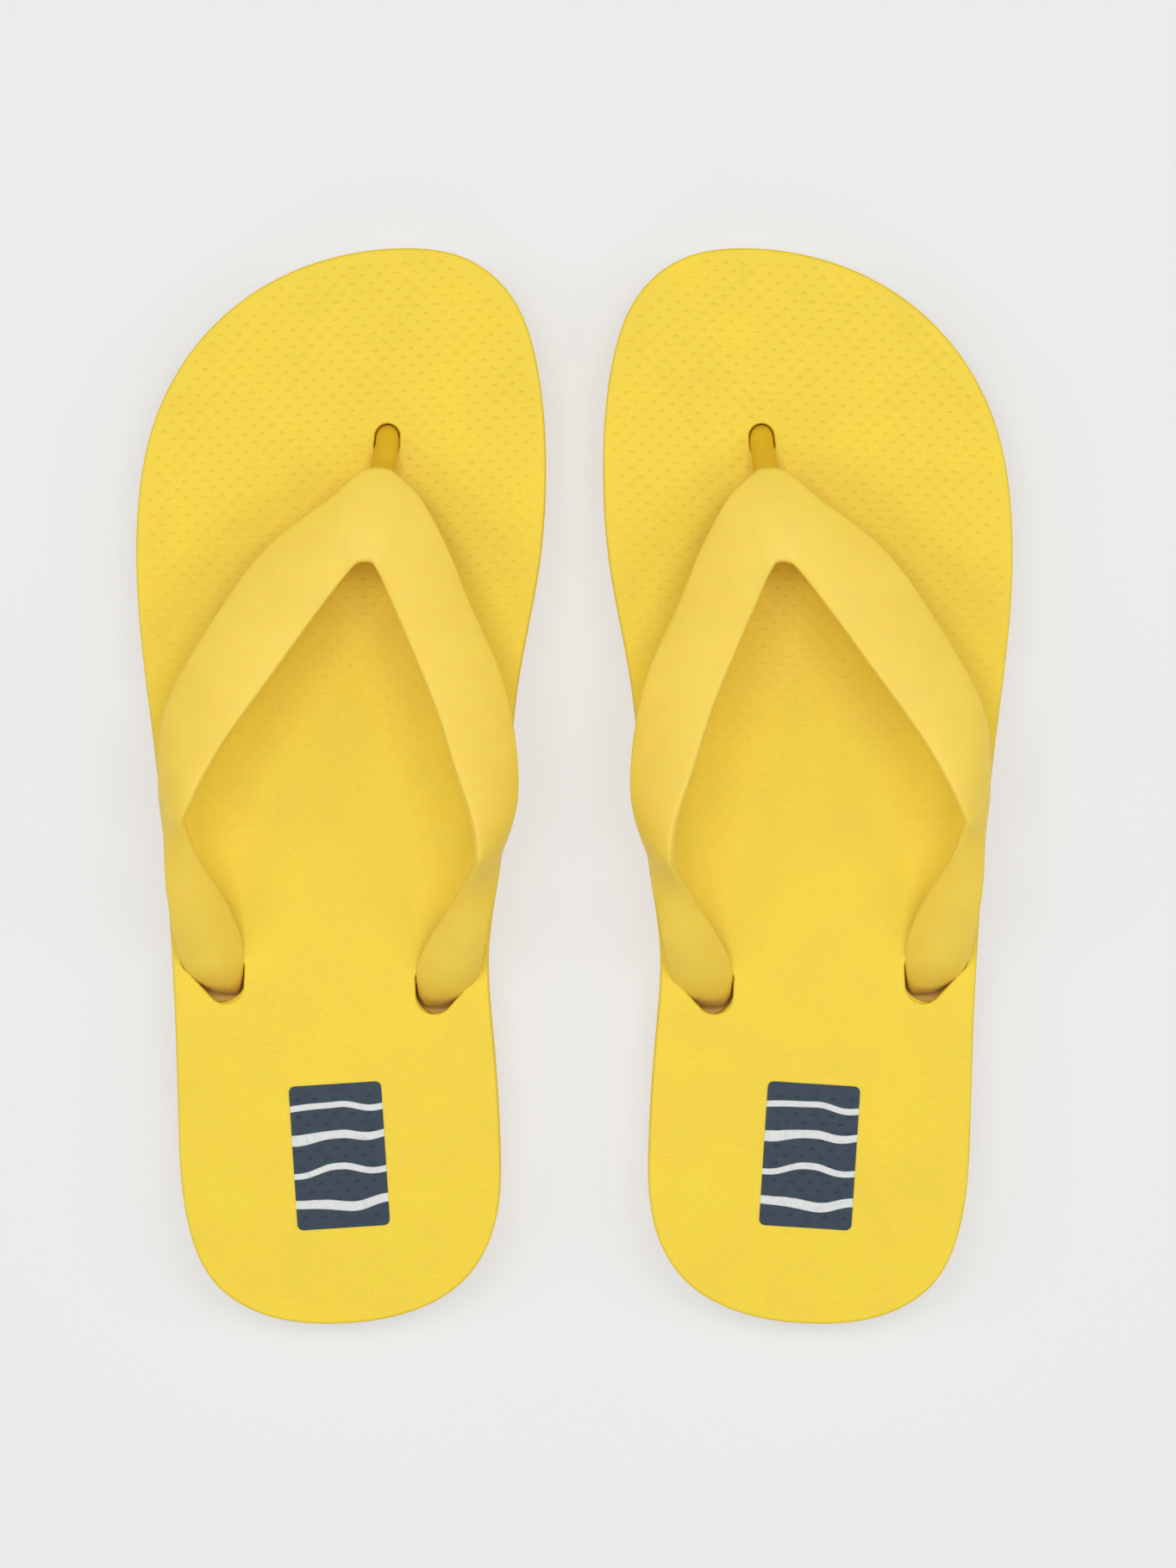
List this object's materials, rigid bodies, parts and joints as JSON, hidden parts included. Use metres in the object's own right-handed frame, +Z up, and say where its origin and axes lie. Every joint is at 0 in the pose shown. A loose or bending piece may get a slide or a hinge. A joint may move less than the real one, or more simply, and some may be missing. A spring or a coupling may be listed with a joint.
{
  "type": "flip flop",
  "caption": "Pair of flat thong sandals with a V-shaped moulded strap, a toe post between the toes, a layered bendable sole and a printed heel label.",
  "frame": {"origin": "on the ground, midway between the two shoes and midway along them", "axes": "+X from the left shoe to the right one, +Y towards the toes, +Z up"},
  "size_m": [0.22, 0.27, 0.0478],
  "materials": {
    "footbed": "matte, fine raised grain",
    "midsole": "matte foam",
    "outsole": "matte, treaded",
    "strap": "smooth satin",
    "toe_post": "smooth satin",
    "plug": "smooth satin",
    "label": "thin printed film"
  },
  "bodies": {
    "left_rearfoot": {"left_footbed_rear": "footbed", "left_midsole_rear": "midsole", "left_outsole_rear": "outsole", "left_strap": "strap", "left_outer_plug": "plug", "left_inner_plug": "plug", "left_heel_label": "label"},
    "left_forefoot": {"left_footbed_front": "footbed", "left_midsole_front": "midsole", "left_outsole_front": "outsole", "left_toe_post": "toe_post", "left_toe_plug": "plug"},
    "right_rearfoot": {"right_footbed_rear": "footbed", "right_midsole_rear": "midsole", "right_outsole_rear": "outsole", "right_strap": "strap", "right_outer_plug": "plug", "right_inner_plug": "plug", "right_heel_label": "label"},
    "right_forefoot": {"right_footbed_front": "footbed", "right_midsole_front": "midsole", "right_outsole_front": "outsole", "right_toe_post": "toe_post", "right_toe_plug": "plug"}
  },
  "joints": [
    {"name": "left_sole_flex", "type": "hinge", "parent": "left_rearfoot", "child": "left_forefoot", "pos_m": [-0.0586, 0.04, 0.016], "axis": [1, 0, 0], "range_deg": [0, 40], "stiffness_Nm_per_rad": 0.6, "deforming": ["left_strap"]},
    {"name": "pair_spacing", "type": "slide", "parent": "left_rearfoot", "child": "right_rearfoot", "axis": [1, 0, 0], "range_m": [0, 0.15]},
    {"name": "right_sole_flex", "type": "hinge", "parent": "right_rearfoot", "child": "right_forefoot", "pos_m": [0.0586, 0.04, 0.016], "axis": [1, 0, 0], "range_deg": [0, 40], "stiffness_Nm_per_rad": 0.6, "deforming": ["right_strap"]}
  ]
}
